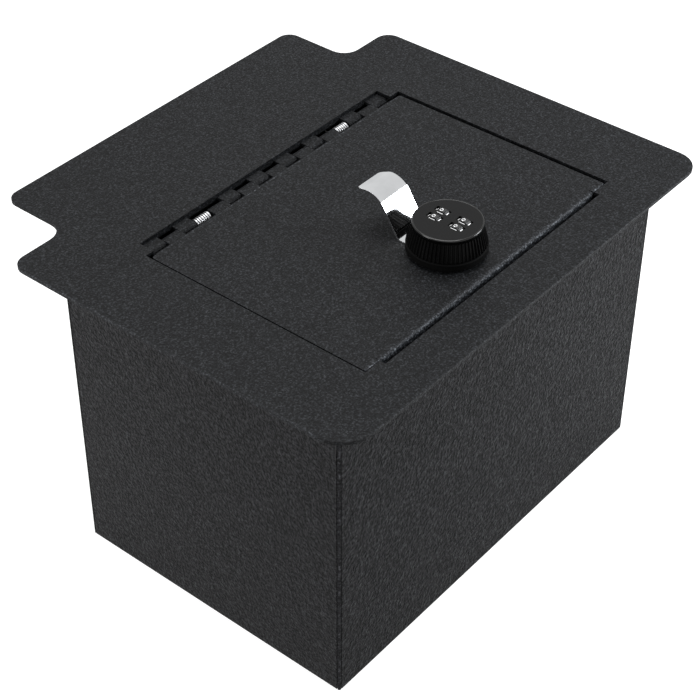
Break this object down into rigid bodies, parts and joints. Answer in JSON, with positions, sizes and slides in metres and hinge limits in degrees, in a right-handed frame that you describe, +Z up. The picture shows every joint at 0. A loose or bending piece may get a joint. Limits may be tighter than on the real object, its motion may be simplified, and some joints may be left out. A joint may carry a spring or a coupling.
{
  "type": "console safe",
  "caption": "Deep black sheet-steel safe under a stepped mounting plate, with a flush spring-hinged lid, a fluted combination cam lock and a bright pull tab.",
  "frame": {"origin": "centre of the bounding box, on the underside of the floor panel", "axes": "+X along the lid's hinge, -Y towards the front edge where the lid opens, +Y towards the hinge and the rear tongue, +Z up"},
  "size_m": [0.32, 0.28, 0.2256],
  "materials": {
    "plate_coat": "black textured powder coat, fine speckle",
    "wall_coat": "black textured powder coat, coarse wrinkle",
    "zinc": "bright zinc plate",
    "chrome": "polished chrome",
    "knob_black": "black moulded plastic, glossy ribs and matte face",
    "wheel_black": "black moulded plastic with white digits",
    "cam_steel": "stamped steel"
  },
  "bodies": {
    "safe_body": {"top_plate": "plate_coat", "front_wall": "wall_coat", "back_wall": "wall_coat", "left_wall": "wall_coat", "right_wall": "wall_coat", "weld_front_left": "wall_coat", "weld_front_right": "wall_coat", "weld_back_left": "wall_coat", "weld_back_right": "wall_coat", "floor_panel": "wall_coat", "strike_bracket": "plate_coat", "hinge_fixed_leaf": "plate_coat", "hinge_pin": "zinc", "hinge_spring_left": "zinc", "hinge_spring_right": "zinc"},
    "lid": {"lid_plate": "plate_coat", "hinge_lid_leaf": "plate_coat", "pull_tab": "chrome", "lock_housing": "knob_black", "lock_washer": "zinc", "lock_nut": "zinc"},
    "knob": {"dial_knob": "knob_black", "spindle": "zinc", "lock_cam": "cam_steel", "cam_screw": "zinc", "dial_axle_back": "zinc", "dial_axle_front": "zinc"},
    "wheel_1": {"dial_wheel_1": "wheel_black"},
    "wheel_2": {"dial_wheel_2": "wheel_black"},
    "wheel_3": {"dial_wheel_3": "wheel_black"},
    "wheel_4": {"dial_wheel_4": "wheel_black"}
  },
  "joints": [
    {"name": "lid_hinge", "type": "hinge", "parent": "safe_body", "child": "lid", "pos_m": [-0.0011, 0.0464, 0.19645], "axis": [-1, 0, 0], "range_deg": [0, 105]},
    {"name": "knob_turn", "type": "hinge", "parent": "lid", "child": "knob", "pos_m": [-0.0011, -0.078, 0.208], "axis": [0, 0, -1], "range_deg": [0, 90]},
    {"name": "dial_1", "type": "hinge", "parent": "knob", "child": "wheel_1", "pos_m": [-0.00325, -0.07075, 0.21542], "axis": [1, 0, 0], "continuous": true},
    {"name": "dial_2", "type": "hinge", "parent": "knob", "child": "wheel_2", "pos_m": [0.00385, -0.07075, 0.21542], "axis": [1, 0, 0], "continuous": true},
    {"name": "dial_3", "type": "hinge", "parent": "knob", "child": "wheel_3", "pos_m": [-0.00325, -0.08525, 0.21542], "axis": [1, 0, 0], "continuous": true},
    {"name": "dial_4", "type": "hinge", "parent": "knob", "child": "wheel_4", "pos_m": [0.00385, -0.08525, 0.21542], "axis": [1, 0, 0], "continuous": true}
  ]
}
